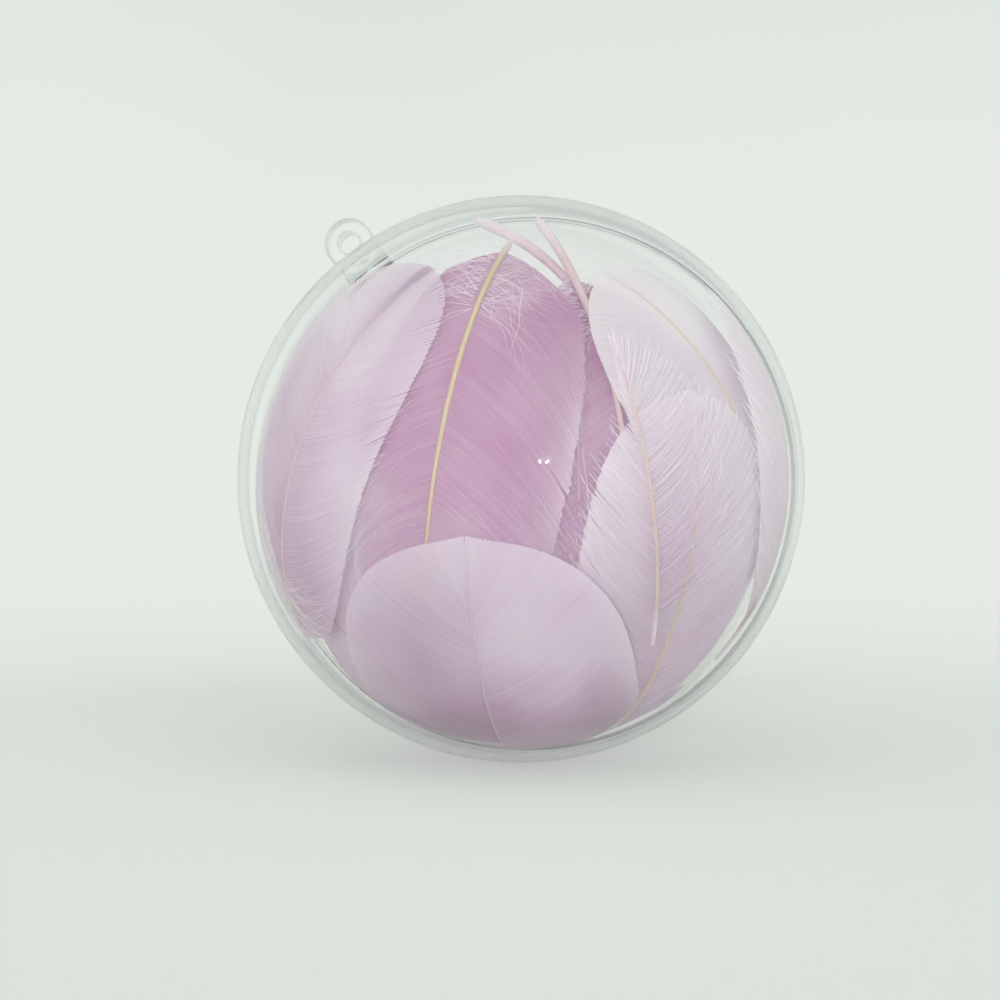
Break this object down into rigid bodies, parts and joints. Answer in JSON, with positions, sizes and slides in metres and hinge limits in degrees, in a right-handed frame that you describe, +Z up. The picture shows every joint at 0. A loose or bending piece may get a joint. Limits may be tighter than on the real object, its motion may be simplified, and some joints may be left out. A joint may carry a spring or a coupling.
{
  "type": "fillable ball ornament",
  "caption": "Clear hollow ball in two halves that part at a stepped seam, with a moulded hanging eye and a loose fill of long curled feathers.",
  "frame": {"origin": "centre of the ball", "axes": "+Z is up as the ball lies in its picture; the seam plane is XZ; -Y is the way the front half pulls off and the way it faces; the hanging eye leans 36 degrees from +Z towards -X in the seam plane"},
  "size_m": [0.1, 0.1, 0.1],
  "materials": {
    "clear_shell": "gloss",
    "feather_vane": "matte",
    "feather_quill": "satin"
  },
  "bodies": {
    "back_half": {"back_centre_feather_quill": "feather_quill", "back_centre_feather_vane": "feather_vane", "back_eye_tab": "clear_shell", "back_half_shell": "clear_shell", "back_left_feather_quill": "feather_quill", "back_left_feather_vane": "feather_vane", "back_lower_feather_quill": "feather_quill", "back_lower_feather_vane": "feather_vane", "back_right_feather_quill": "feather_quill", "back_right_feather_vane": "feather_vane", "back_upper_feather_quill": "feather_quill", "back_upper_feather_vane": "feather_vane", "bottom_feather_quill": "feather_quill", "bottom_feather_vane": "feather_vane", "centre_feather_quill": "feather_quill", "centre_feather_vane": "feather_vane", "left_feather_quill": "feather_quill", "left_feather_vane": "feather_vane", "left_side_feather_quill": "feather_quill", "left_side_feather_vane": "feather_vane", "lower_front_feather_quill": "feather_quill", "lower_front_feather_vane": "feather_vane", "lower_left_feather_quill": "feather_quill", "lower_left_feather_vane": "feather_vane", "lower_right_feather_quill": "feather_quill", "lower_right_feather_vane": "feather_vane", "right_feather_quill": "feather_quill", "right_feather_vane": "feather_vane", "right_low_feather_quill": "feather_quill", "right_low_feather_vane": "feather_vane", "right_side_feather_quill": "feather_quill", "right_side_feather_vane": "feather_vane", "right_upper_feather_quill": "feather_quill", "right_upper_feather_vane": "feather_vane", "top_feather_quill": "feather_quill", "top_feather_vane": "feather_vane", "top_left_feather_quill": "feather_quill", "top_left_feather_vane": "feather_vane"},
    "front_half": {"front_half_shell": "clear_shell", "front_eye_tab": "clear_shell"}
  },
  "joints": [
    {"name": "front_half_pulls_off", "type": "slide", "parent": "back_half", "child": "front_half", "axis": [0, -1, 0], "range_m": [0, 0.06]}
  ]
}
